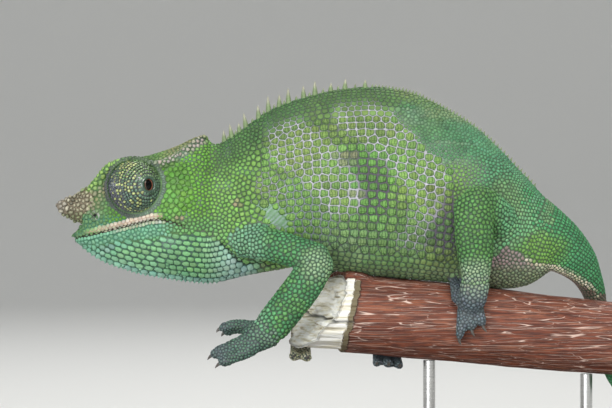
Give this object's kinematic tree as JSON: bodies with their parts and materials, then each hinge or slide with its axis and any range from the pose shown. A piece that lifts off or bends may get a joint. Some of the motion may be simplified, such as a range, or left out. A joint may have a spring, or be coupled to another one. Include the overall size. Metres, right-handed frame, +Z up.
{
  "type": "chameleon on a branch",
  "caption": "Still life-size model of a horned chameleon with a spiny crest, gripping a cut branch that a flat base holds up on short rods.",
  "frame": {"origin": "on the flat underside of the stand's base, below the middle of the animal's trunk", "axes": "+Z up, -X towards the snout along the length of the branch, -Y out of the animal's left side"},
  "size_m": [0.186, 0.084, 0.1142],
  "materials": {
    "skin": "green scaled hide with pale lines between the flank scales, satin",
    "horn": "brown-beige horn covered in small bumps, dull",
    "turret": "grey-green lid skin with fine beaded rings, slightly moist",
    "eye": "wet black ball, very glossy",
    "foot": "blue-grey fine-scaled hide, dull",
    "bark": "red-brown bark with fine pale wavy cracks, dry",
    "stand_wood": "dark stained wood, satin lacquer",
    "stand_steel": "brushed bare steel"
  },
  "bodies": {
    "root": {"head": "skin", "cheek": "skin", "lower_jaw": "skin", "throat": "skin", "horn_left": "horn", "turret_left": "turret", "eye_left": "eye", "horn_right": "horn", "turret_right": "turret", "eye_right": "eye", "neck": "skin", "trunk": "skin", "rump": "skin", "tail_1": "skin", "tail_2": "skin", "tail_3": "skin", "tail_4": "skin", "upper_arm_left": "skin", "forearm_left": "skin", "hand_left": "foot", "left_hand_outer_toes": "foot", "left_hand_inner_toes": "foot", "upper_arm_right": "skin", "forearm_right": "skin", "hand_right": "foot", "right_hand_outer_toes": "foot", "right_hand_inner_toes": "foot", "thigh_left": "skin", "shin_left": "skin", "foot_left": "foot", "left_foot_outer_toes": "foot", "left_foot_inner_toes": "foot", "thigh_right": "skin", "shin_right": "skin", "foot_right": "foot", "right_foot_outer_toes": "foot", "right_foot_inner_toes": "foot", "perch": "bark", "stand_base": "stand_wood", "stand_rod_1": "stand_steel", "stand_rod_2": "stand_steel"}
  },
  "joints": []
}
